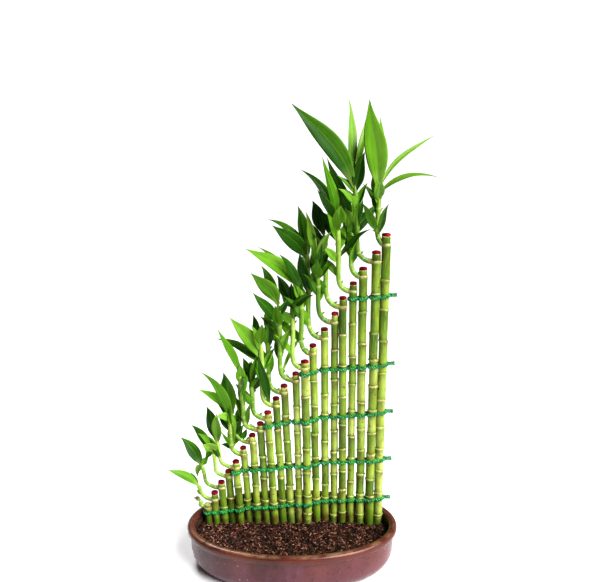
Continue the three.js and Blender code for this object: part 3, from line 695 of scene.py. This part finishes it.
def tieHeight(row, x):
    start, end = plants[row[0]][0], plants[-1][0]
    return row[1] + (row[2] - row[1]) * (x - start) / (end - start)


# The shoot leaves a cane's top node, just above the tip of the next shorter cane.
def topNode(i):
    tip = plants[i][3]
    return tip - (cane["topNode"] * (tip - plants[i - 1][3]) if i else cane["stubNode"])


def nodeHeights(i):
    foot = plants[i][0]
    least, spread, growth = cane["gap"]
    heights = []
    z = topNode(i)
    n = 0
    while z > cane["firstNode"]:
        near = [row for row in tieHeights if i >= row[0] and abs(tieHeight(row, foot) - z) < tieClear]
        heights.append(tieHeight(near[0], foot) + aboveTie if near else z)
        z -= least + spread * draw(i, n) + growth * (z - cane["firstNode"])
        n += 1
    return heights[::-1]


def addCane(lines, i):
    plant = plants[i]
    tip, girth = plant[3:5]
    nodes = nodeHeights(i)
    top = len(nodes) - 1
    end = tip - wax["height"] if i else tip
    ends = [(cane["foot"], 0, 0, 1)]
    ends += [(soil["top"] + up, 0, 0, shade) for up, shade in cane["darkFoot"]]
    ends += [(end + up, *mark) for up, *mark in cane["cut"]]
    marks = [(*mark, farFromNode, 0) for mark in ends]
    least, spread, topTall = cane["tall"]
    for n, z in enumerate(nodes):
        below = nodes[n - 1] + 8 if n else soil["top"] + 6
        above = nodes[n + 1] - 4 if n < top else end - 2
        tall = topTall if n == top else least + spread * draw(i, n + 84)
        marks += [(z + tall * up, *mark, up, n) for up, *mark in cane["node"]
                  if below < z + tall * up < above]
    marks.sort()
    rows = []
    for z, out, crest, shade, up, n in marks:
        onNode = up != farFromNode
        below = sum(1 for height in nodes if height < z)
        kink = cane["kink"] * (2 * draw(i, below + 19) - 1)
        size = girth / 2 + cane["swell"] + out + cane["uneven"] * math.sin(z / 9 + i)
        angle = 6.3 * draw(i, n + 30)
        slant = cane["slant"] * (0.3 + 0.7 * draw(i, n + 42)) * (1 - smooth(3, 8, abs(up)))
        dark = cane["darkTop"] * smooth(0.55, 0.95, z / tip) * smooth(12, 19, i)
        dark = dark + cane["darkShort"] * (1 - smooth(2, 9, i))
        pale = cane["paleLast"] if z > nodes[-1] + 1 and i > 12 else 0
        base, byCane, byNode = cane["tone"]
        tone = base + byCane * draw(i, 50) + byNode * draw(i, below + 55) - dark + pale
        crest *= 0.3 + 0.7 * draw(i, n + 70) if onNode and n < top else 0.9
        shade *= 0.4 + 0.6 * draw(i, n + 75) if onNode else 1
        point = axis(plant, z) + np.array([kink, 0, 0])
        tipped = (slant * math.cos(angle), slant * math.sin(angle), 0)
        rows.append((point, size * mm, tipped, tone, crest, shade))
    points, sizes, slants, tones, crests, shades = (np.array(column) for column in zip(*rows))
    lines.add(
        points, kind=caneKind, size=sizes, facing=(1, 0, 0), slant=slants * mm,
        tone=tones, crest=crests, shade=shades, along=points[:, 2] / tip,
    )


shoot = {
    "sides": 16, "steps": 60, "foot": 3.7, "crown": 2.5, "flare": 0.9,   # half widths, flare under the crown
    "short": 30, "slim": 0.8,   # a shoot that rises less than this is this much slimmer
    "scar": 9.5, "scarOut": 0.3, "footOut": 0.25, "endIn": 0.7,
    "bractsFrom": 5, "bracts": 3, "bract": (9, 3.4),   # first plant, number, length and width
    "leavesTo": 0.985,
    "colors": ((0.05, 0.13, 0.006), (0.15, 0.29, 0.016), (0.32, 0.46, 0.08)),
    "scarColor": (0.5, 0.56, 0.22), "footColor": (0.24, 0.14, 0.045),
}


def shootLook():
    look, tree, shader = newLook("shoot_green")
    blotch = cloud(placeOf(tree, (1, 1, 0.3)), 130, 4)
    wash = vary(valueOf(tree, "tone"), blotch, 0.9)
    color = layered(
        ramp(wash, *zip((0.15, 0.5, 0.85), shoot["colors"])),
        (valueOf(tree, "crest"), shoot["scarColor"]),
        (times(valueOf(tree, "shade"), times(blotch, 1.7)), shoot["footColor"]),
    )
    feed(shader, {
        "Base Color": color, "Roughness": ramp(blotch, (0.3, 0.34), (0.7, 0.5)),
        "Subsurface Weight": 0.12, "Subsurface Scale": 0.003,
    })
    addBump(shader, cloud(placeOf(tree, (1, 1, 0.1)), 900, 2), 0.12, 0.0006)
    return look


# A shoot's middle: out of the node, away to the left, up past the cane's tip and over to its crown.
def shootPath(i):
    tipHeight, (reach, rise) = plants[i][3], plants[i][5]
    tip = axis(plants[i], tipHeight)
    elbow = 0.6 * reach - 5
    side = (-1 if i % 2 else 1) * (5 + 5 * draw(i, 40)) * min(1, rise / 50)
    low = min(-3, rise * 0.5 - 8)
    foot = topNode(i)
    return np.array([
        (tip[0], tip[1], foot - 1),
        (tip[0] + 0.55 * elbow, tip[1], foot + 1),
        (tip[0] + elbow, tip[1] + 0.2 * side, max(foot + 3, tipHeight + low)),
        (tip[0] + 0.5 * (elbow + reach), tip[1] + 0.6 * side, tipHeight + 0.5 * (low + rise)),
        (tip[0] + reach, tip[1] + side, tipHeight + rise),
    ])


def addShoot(lines, i):
    scale = shoot["slim"] if plants[i][5][1] < shoot["short"] else 1
    path = shootPath(i)
    ways = np.linspace(0, 1, shoot["steps"])
    points = np.array([curvePoint(path, way) for way in ways])
    scar = np.abs((runAlong(points) + 4 * draw(i, 41)) / shoot["scar"] % 1 - 0.5) * 2   # 1 on a leaf scar
    scar = smooth(0.82, 1.0, scar)
    foot = shoot["foot"]
    size = scale * (foot + (shoot["crown"] - foot) * ways + shoot["flare"] * smooth(0.5, 0.93, ways))
    size += shoot["scarOut"] * scar
    size *= 1 + shoot["footOut"] * (1 - smooth(0, 0.2, ways))
    size *= 1 - shoot["endIn"] * smooth(0.93, 1.0, ways)
    facing = unit(np.cross([0.0, 1.0, 0.0], np.gradient(points, axis=0)))
    lines.add(
        points, kind=shootKind, size=size * mm, facing=facing, along=ways, crest=scar * 0.6,
        tone=0.15 + 0.5 * draw(i, 52) + 0.3 * ways, shade=1 - smooth(0.05, 0.26, ways),
    )
    length, width = shoot["bract"]
    for n in range(shoot["bracts"] if i >= shoot["bractsFrom"] else 0):
        way = (n + 0.6 + 0.5 * draw(i, n + 44)) / (shoot["bracts"] + 0.6)
        lean = (-1 if (i + n) % 2 else 1) * (32 + 25 * draw(i, n + 47))
        row = (way, lean, length * (0.7 + 0.6 * draw(i, n + 49)), width, 0.6)
        addLeaf(lines, leafLine(curvePoint(path, way), row, 0), width, 0.4, -1, n, 0)


blade = {
    "steps": 34, "lanes": 6, "fold": 0.3, "thick": 0.052, "groove": 0.03, "twist": 34, "sway": 0.018,
    "wave": 0.45, "turns": 2.2, "streak": 0.75, "patch": 0.25, "veins": 42.0, "glow": 0.16,
    "shaded": (1.45, 1.2),   # how dark the half that faces down is, and how much less on a bright leaf
    "outline": [
        (0, 0.27), (0.08, 0.36), (0.16, 0.56), (0.26, 0.81), (0.36, 0.96), (0.45, 1), (0.55, 0.96),
        (0.66, 0.81), (0.76, 0.59), (0.85, 0.35), (0.92, 0.17), (0.97, 0.07), (1, 0.012),
    ],
    "colors": (
        (0.012, 0.074, 0.001), (0.042, 0.155, 0.003), (0.115, 0.29, 0.01), (0.17, 0.36, 0.028),
        (0.28, 0.45, 0.08),
    ),
    "vein": (0.15, 0.33, 0.02), "rib": (0.19, 0.36, 0.04), "root": (0.42, 0.56, 0.14),
    "dry": (0.16, 0.11, 0.05), "scale": ((0.06, 0.06, 0.012), (0.27, 0.3, 0.07)),
}


def bladeSection():
    lanes = blade["lanes"]
    u = np.linspace(-1, 1, 2 * lanes + 1)
    lift = blade["fold"] * (1.35 * np.abs(u) ** 1.25 - 0.35 * np.abs(u) ** 3)
    slim = blade["thick"] * np.clip(1 - 0.8 * np.abs(u) ** 4, 0.2, 1)
    groove = blade["groove"] * np.exp(-(u / 0.12) ** 2)
    over = np.stack([lift + slim - groove, u], 1)
    under = np.stack([lift - slim - 1.3 * groove, u], 1)[-2:0:-1]
    points = np.concatenate([over, under])
    return newSection("blade_section", points, points[:, 1], [0] * len(over) + [1] * len(under))


def leafLook():
    look, tree, shader = newLook("leaf_green")
    tone, along, across, under = (valueOf(tree, key) for key in ("tone", "along", "across", "under"))
    strip = addNode(tree, "ShaderNodeCombineXYZ", {
        0: times(across, 2.6), 1: times(along, 0.8), 2: times(tone, 40.0),
    }).outputs[0]
    streak = cloud(strip, 1.6, 4, 0.6)
    patch = cloud(placeOf(tree), 45, 3)
    wash = vary(vary(tone, streak, blade["streak"]), patch, blade["patch"])
    shaded = valueOf(tree, "shade")   # signed by the side of the half that faces down
    most, less = blade["shaded"]
    half = ramp(times(across, shaded), (0.0, 0.0), (0.03, 0.34))
    half = times(half, calc("ABSOLUTE", shaded))
    half = times(half, calc("SUBTRACT", most, times(tone, less)))
    wash = calc("SUBTRACT", wash, half)
    vein = calc("SINE", times(across, blade["veins"]))
    side = calc("ABSOLUTE", across)
    root = ramp(along, (0.0, 1.0), (0.07, 0.7), (0.24, 0.0))
    color = layered(
        ramp(wash, *zip((0.0, 0.2, 0.49, 0.82, 1.0), blade["colors"])),
        (ramp(plus(times(vein, 0.5), 0.5), (0.7, 0.0), (1.0, 0.16)), blade["vein"]),
        (ramp(side, (0.0, 0.36), (0.03, 0.22), (0.07, 0.0)), blade["rib"]),
        (ramp(side, (0.9, 0.0), (1.0, 0.35)), blade["vein"]),
        (times(under, 0.3), blade["vein"]),
        (times(root, plus(0.15, times(tone, 0.7))), blade["root"]),
        (ramp(along, (0.955, 0.0), (1.0, 0.7)), blade["dry"]),
    )
    rough = ramp(streak, (0.3, 0.34), (0.75, 0.5))
    feed(shader, {"Base Color": color, "Roughness": rough, "Specular IOR Level": 0.2})
    addBump(shader, vein, 0.1, 0.0004)
    glow = addNode(tree, "ShaderNodeBsdfTranslucent", {"Color": color})
    mixed = addNode(tree, "ShaderNodeMixShader", {0: blade["glow"], 1: shader, 2: glow})
    feed(tree.nodes["Material Output"], {0: mixed})
    return look


def scaleLook():
    look, tree, shader = newLook("dry_scale")
    grain = cloud(placeOf(tree), 240)
    color = ramp(grain, *zip((0.35, 0.6), blade["scale"]))
    feed(shader, {"Base Color": color, "Roughness": 0.6})
    addBump(shader, grain, 0.3, 0.0005)
    return look


# Moves points to the back by depth, along their lines of sight.
def moveBack(point, depth):
    sight = point - eye
    return point + sight * depth / sight[1]


def leafEnd(root, length, angle):
    return root + length * np.array([math.sin(angle), 0, math.cos(angle)])


def leafLine(root, row, depth):
    _, lean, length, _, arch = row[:5]
    angle = math.radians(lean)
    middle = leafEnd(root, 0.5 * length, angle * (1 - arch))
    return root, moveBack(middle, 0.35 * depth), moveBack(leafEnd(root, length, angle), depth)


# How far back the CAD's blade with this root and row reaches, or None where it has no such blade.
def leafDepth(corners, root, row):
    tip = leafEnd(root, row[2], math.radians(row[1]))
    sight = corners - eye
    onPlane = eye + sight * ((tip[1] - eye[1]) / sight[:, 1])[:, None]
    off = np.linalg.norm(onPlane - tip, axis=1)
    best = int(np.argmin(off))
    return corners[best][1] - root[1] if off[best] < 0.05 else None


def leafTwist(i, n):
    return math.radians(blade["twist"] * (2 * draw(i, n) - 1))


# key shifts the waves of a leaf's edge; sunny's sign says which half is shaded.
def addLeaf(lines, line, width, twist, tone, key, sunny):
    a, b, c = line
    ways = np.linspace(0, 1, blade["steps"]) ** 0.95
    w = ways[:, None]
    points = (1 - w) ** 2 * a + 2 * w * (1 - w) * b + w ** 2 * c
    tangents = unit(2 * (1 - w) * (b - a) + 2 * w * (c - b))
    front = np.array([0, -1, 0.35])
    facing = unit(front - tangents * (tangents @ front)[:, None])
    side = np.cross(tangents, facing)
    sway = blade["sway"] * np.linalg.norm(c - a) * (1 if key % 2 else -1)
    points = points + side * (sway * np.sin(ways * 2 * math.pi) * ways)[:, None]
    turn = twist * (0.7 + 0.6 * w)
    facing = facing * np.cos(turn) + side * np.sin(turn)
    half = 0.5 * width * np.interp(ways, *zip(*blade["outline"]))
    ripple = smooth(0.1, 0.4, ways) * np.minimum(1, half / 5)
    lines.add(
        points, kind=scaleKind if tone < 0 else leafKind, size=half * mm, facing=facing, ripple=ripple * mm,
        run=runAlong(points) / 7 + key, tone=tone, along=ways, shade=sunny,
    )


# the dry scale low on a shoot, and short leaves that fill the crowns out, both as the CAD has them
scaleRow = {"from": 7, "row": (0.13, -58, 13, 5, 0.2, -1)}
fillers = {"from": 8, "count": 2, "lean": 16, "left": 8, "length": (34, 52), "width": (12, 17), "share": 0.6}


def leafRows(i):
    rows = list(enumerate(plants[i][6]))
    if i >= scaleRow["from"]:
        rows.append((len(rows), scaleRow["row"]))
    for n in range(fillers["count"] if i >= fillers["from"] else 0):
        length, width = pick(i, 91 + 10 * n, fillers["length"]), pick(i, 92 + 10 * n, fillers["width"])
        lean = fillers["lean"] * (2 * draw(i, 94 + 10 * n) - 1) - fillers["left"]
        way, tone = 0.8 + 0.2 * draw(i, 95 + n), 0.2 + 0.5 * draw(i, 97 + n)
        rows.append((9 + n, (way, lean, fillers["share"] * length, width, 0.4, tone)))
    return rows


# small leaves past the CAD's limit, which fill out the upper part of a shoot in front and behind
sprigs = {
    "from": 4, "count": 4, "low": 0.5, "high": 0.95, "lean": (-48, 30), "length": (24, 44), "width": (9, 14),
    "arch": 0.3, "depth": 0.3, "tone": (0.25, 0.6),   # the darkest tone and its spread
}


def addSprigs(lines, i, path):
    for n in range(sprigs["count"] if i >= sprigs["from"] else 0):
        lean, length, width = (pick(i, 130 + 7 * n + k, sprigs[key]) for k, key in
                               enumerate(("lean", "length", "width")))
        way = sprigs["low"] + (sprigs["high"] - sprigs["low"]) * (n + draw(i, 133 + 7 * n)) / sprigs["count"]
        depth = sprigs["depth"] * length * (1 if (i + n) % 2 else -1)
        line = leafLine(curvePoint(path, way), (way, lean, length, width, sprigs["arch"]), depth)
        darkest, spread = sprigs["tone"]
        tone = darkest + spread * draw(i, n + 165)
        addLeaf(lines, line, width, leafTwist(i, n + 160), tone, i + n, 1 if lean > 0 else -1)


def buildPlants():
    stemSection = newSection("cane_section", circle(cane["sides"]))
    shootSection = newSection("shoot_section", circle(shoot["sides"]))
    flatSection = bladeSection()
    tree = sweepTree("grow", [
        (caneKind, stemSection, caneLook()), (shootKind, shootSection, shootLook()),
        (leafKind, flatSection, leafLook()), (scaleKind, flatSection, scaleLook()),
    ])
    grown = 0
    for i in range(len(plants)):
        name = "stalk_%02d" % i
        corners = np.array([v.co for v in frame["nodes"][name].data.vertices]) / mm
        lines = Lines()
        addCane(lines, i)
        addShoot(lines, i)
        path = shootPath(i)
        for n, row in leafRows(i):
            root = curvePoint(path, min(row[0], shoot["leavesTo"]))
            depth = leafDepth(corners, root, row)
            if depth is None:
                continue
            sunny = (0.5 + 0.5 * draw(i, n + 110)) * (1 if row[1] > 0 else -1)
            line = leafLine(root, row, depth)
            addLeaf(lines, line, row[3], leafTwist(i, n + 60), row[5], i + n, sunny)
            grown += 1
        addSprigs(lines, i, path)
        plant = grow(lines, "bamboo_%02d" % i, tree, Girth=1.0, Wave=blade["wave"], Turns=blade["turns"])
        claim(plant, "bamboo_green", name)
    for section in (stemSection, shootSection, flatSection):
        bpy.data.objects.remove(section)
    print("leaves and scales as in the CAD:", grown)


wax = {
    "height": 3.2, "overhang": 0.05, "sides": 28,
    "skirt": 1.6, "uneven": (0.25, 1.3),   # height of the uneven skirt, and how uneven: above and on it
    # height in the cap and share of its radius there
    "outline": [
        (-0.5, 0.8), (-0.6, 0.97), (0.1, 1.03), (1.2, 1.02), (2.2, 0.97), (2.9, 0.86), (3.2, 0.7),
        (3.1, 0.45), (3.0, 0.2),
    ],
    "colors": ((0.045, 0.002, 0.005), (0.16, 0.004, 0.012), (0.33, 0.012, 0.03)),
}


def waxLook():
    look, tree, shader = newLook("red_wax")
    place = placeOf(tree)
    patch = cloud(place, 150, 3)
    color = ramp(patch, *zip((0.34, 0.52, 0.7), wax["colors"]))
    color = blend(valueOf(tree, "crest"), color, wax["colors"][0])
    rough = ramp(patch, (0.3, 0.4), (0.7, 0.6))
    feed(shader, {"Base Color": color, "Roughness": rough, "Specular IOR Level": 0.06})
    addBump(shader, cloud(place, 420, 3), 0.3, 0.0008)
    return look


# The wax dip over a cut cane: a low dome whose skirt ends in an uneven line.
def buildCaps():
    look = waxLook()
    ring = circle(wax["sides"])
    low, high = wax["uneven"]
    for i in range(1, len(plants)):
        tip, girth = plants[i][3:5]
        centre = axis(plants[i], tip)[:2]
        bumps = np.array([noise.noise(Vector((x * 1.4, y * 1.4, i * 3.7))) for x, y in ring])
        rings, dark = [], []
        for rise, share in wax["outline"]:
            skirt = max(0, 1 - max(0, rise) / wax["skirt"])
            reach = (girth / 2 + wax["overhang"]) * share * (1 + 0.05 * bumps * (0.4 + share))
            z = tip - wax["height"] + rise + bumps * (high * skirt + low * (1 - skirt))
            rings.append(np.column_stack([centre + reach[:, None] * ring, z]))
            dark.append(0.6 if rise > 2.95 and share < 0.8 else 0)   # the cut's dip, in the cap's middle
        piece = loft("wax_%02d" % i, rings, look, crest=np.array(dark)[:, None])
        claim(piece, "red_wax", "wax_cap_%02d" % i)


# Two strands cross in each gap, so that each goes in front of every other cane; each is a twisted pair.
tie = {
    "gapFromCane": 1.9, "tail": 9, "fine": 1.12, "turn": 6.4, "rise": 1.75, "depth": 0.55,
    "crossing": 0.5, "sag": 0.7, "sides": 8, "stepsPerTurn": 8,
    "colors": ((0.0, 0.05, 0.008), (0.0, 0.19, 0.032), (0.003, 0.37, 0.085)), "gapShade": (0.0, 0.03, 0.008),
}


def wireLook():
    look, tree, shader = newLook("green_wire")
    patch = cloud(placeOf(tree), 260, 3)
    color = ramp(patch, *zip((0.34, 0.5, 0.66), tie["colors"]))
    # painted shade on the wire where it passes between canes, in the gaps
    color = blend(ramp(valueOf(tree, "tone"), (0.2, 1.0), (0.8, 0.0)), color, tie["gapShade"])
    rough = ramp(patch, (0.3, 0.2), (0.7, 0.36))
    feed(shader, {"Base Color": color, "Roughness": rough, "Coat Weight": 0.25})
    addBump(shader, patch, 0.2, 0.0005)
    return look


# The middle of one strand with, at each point, how far its pair of wires spreads.
def strandLine(heights, side):
    canes = []
    for plant in plants[heights[0]:]:
        x, y, _ = axis(plant, tieHeight(heights, plant[0]))
        canes.append((x, y, plant[4] / 2 + tie["gapFromCane"]))
    x, y, r = canes[0]
    stops = [(x - r - 0.2, y, 0, 0.7)]   # place, height over the tie's own line, and spread
    for k, (x, y, r) in enumerate(canes):
        if k:
            px, py, pr = canes[k - 1]
            stops.append((0.5 * (px + pr + x - r), 0.5 * (py + y), tie["sag"] + side * tie["crossing"], 0))
            side = -side
        for a in (-0.95, -0.35, 0.35, 0.95):
            stops.append((x + r * math.sin(a), y + side * r * math.cos(a), tie["sag"] * (abs(a) - 0.6), 1))
    x, y, r = canes[-1]
    stops.append((x + r + 0.6, y + side * 1.6, side * 0.5, 0.6))
    stops.append((x + r + tie["tail"], y + side * 1.5, side * 0.8 - 0.6, 0.8))
    line = np.array([(x, y, tieHeight(heights, x) + up) for x, y, up, _ in stops])
    return line, np.array([spread for *_, spread in stops])


def addStrand(lines, heights, side):
    line, spreads = strandLine(heights, side)
    steps = int(runAlong(line)[-1] / tie["turn"] * tie["stepsPerTurn"])
    ways = np.linspace(0, 1, steps)
    points = np.array([curvePoint(line, way) for way in ways])
    spread = np.interp(ways * (len(line) - 1), np.arange(len(line)), spreads)
    tangents = unit(np.gradient(points, axis=0))
    up = np.array([0.0, 0.0, 1.0]) - tangents * tangents[:, 2:3]
    away = np.cross(tangents, up)
    for start in (0, math.pi):
        phase = 2 * math.pi * runAlong(points) / tie["turn"] + start
        rise, depth = tie["rise"] * spread * np.cos(phase), tie["depth"] * spread * np.sin(phase)
        wire = points + up * rise[:, None] + away * depth[:, None]
        facing = unit(np.cross([0.0, 0.0, 1.0], np.gradient(wire, axis=0)))
        size = tie["fine"] * mm * (0.45 + 0.55 * spread)
        lines.add(wire, kind=wireKind, size=size, facing=facing, tone=spread)


def buildTies():
    section = newSection("wire_section", circle(tie["sides"]))
    tree = sweepTree("bind", [(wireKind, section, wireLook())])
    for k, heights in enumerate(tieHeights, 1):
        lines = Lines()
        for side in (-1, 1):
            addStrand(lines, heights, side)
        piece = grow(lines, "tie_%d" % k, tree, Girth=1.0, Wave=0.0, Turns=0.0)
        claim(piece, "green_wire", "wire_%d_front" % k, "wire_%d_back" % k)
    bpy.data.objects.remove(section)


studio = {
    "floor": 1.2, "floorColor": (0.9, 0.9, 0.9),
    "air": 0.09, "backdrop": 1.05,   # how much the world lights, and how bright it is to the camera
    # kind, place, target and settings of each light; the wash lifts the shadow on the floor
    "lights": {
        "sun": ("SUN", (1.2, -1.0, 1.45), (0, 0, 0.25), {"energy": 6.6, "angle": math.radians(46)}),
        "side": ("AREA", (1.5, -0.5, 0.75), (0, 0, 0.25), {"energy": 2, "size": 0.6}),
        "wash": ("SPOT", (-0.42, 0.6, 1.15), (-0.27, 0.08, 0), {
            "energy": 52, "spot_size": math.radians(58), "spot_blend": 1.0, "shadow_soft_size": 0.25,
        }),
    },
}


def buildStudio():
    s = studio["floor"]
    mesh = newMesh("floor", [(-s, -s, 0), (s, -s, 0), (s, s, 0), (-s, s, 0)], faces=[(0, 1, 2, 3)])
    look, tree, shader = newLook("pale_floor")
    color = (*studio["floorColor"], 1)
    feed(shader, {"Base Color": color, "Roughness": 0.9, "Specular IOR Level": 0.0})
    mesh.materials.append(look)
    addObject("floor", mesh)
    world = bpy.data.worlds.new("studio")
    world.use_nodes = True
    tree = world.node_tree
    seen = addNode(tree, "ShaderNodeLightPath").outputs["Is Camera Ray"]
    air = plus(times(seen, studio["backdrop"] - studio["air"]), studio["air"])
    feed(tree.nodes["Background"], {0: (1, 1, 1, 1), 1: air})
    bpy.context.scene.world = world
    for name, (kind, place, target, settings) in studio["lights"].items():
        lamp = addObject(name, bpy.data.lights.new(name, kind))
        setAll(lamp.data, settings)
        lamp.location = place
        lamp.rotation_euler = (Vector(target) - Vector(place)).to_track_quat("-Z", "Y").to_euler()
    setAll(bpy.context.scene.view_settings, {"view_transform": "Standard", "look": "Medium High Contrast"})


view = {"lens": 42.6, "pitch": 11.31, "place": (17.1, -919.2, 568.8)}


def buildCamera():
    camera = addObject("camera", bpy.data.cameras.new("camera"))
    camera.data.lens = view["lens"]
    camera.location = [c * mm for c in view["place"]]
    camera.rotation_euler = (math.radians(90 - view["pitch"]), 0, 0)
    bpy.context.scene.camera = camera


for stage, build in [
    ("camera", buildCamera), ("studio", buildStudio), ("bowl", buildBowl), ("soil", buildSoil),
    ("plants", buildPlants), ("caps", buildCaps), ("ties", buildTies),
]:
    build()
    print("built", stage)
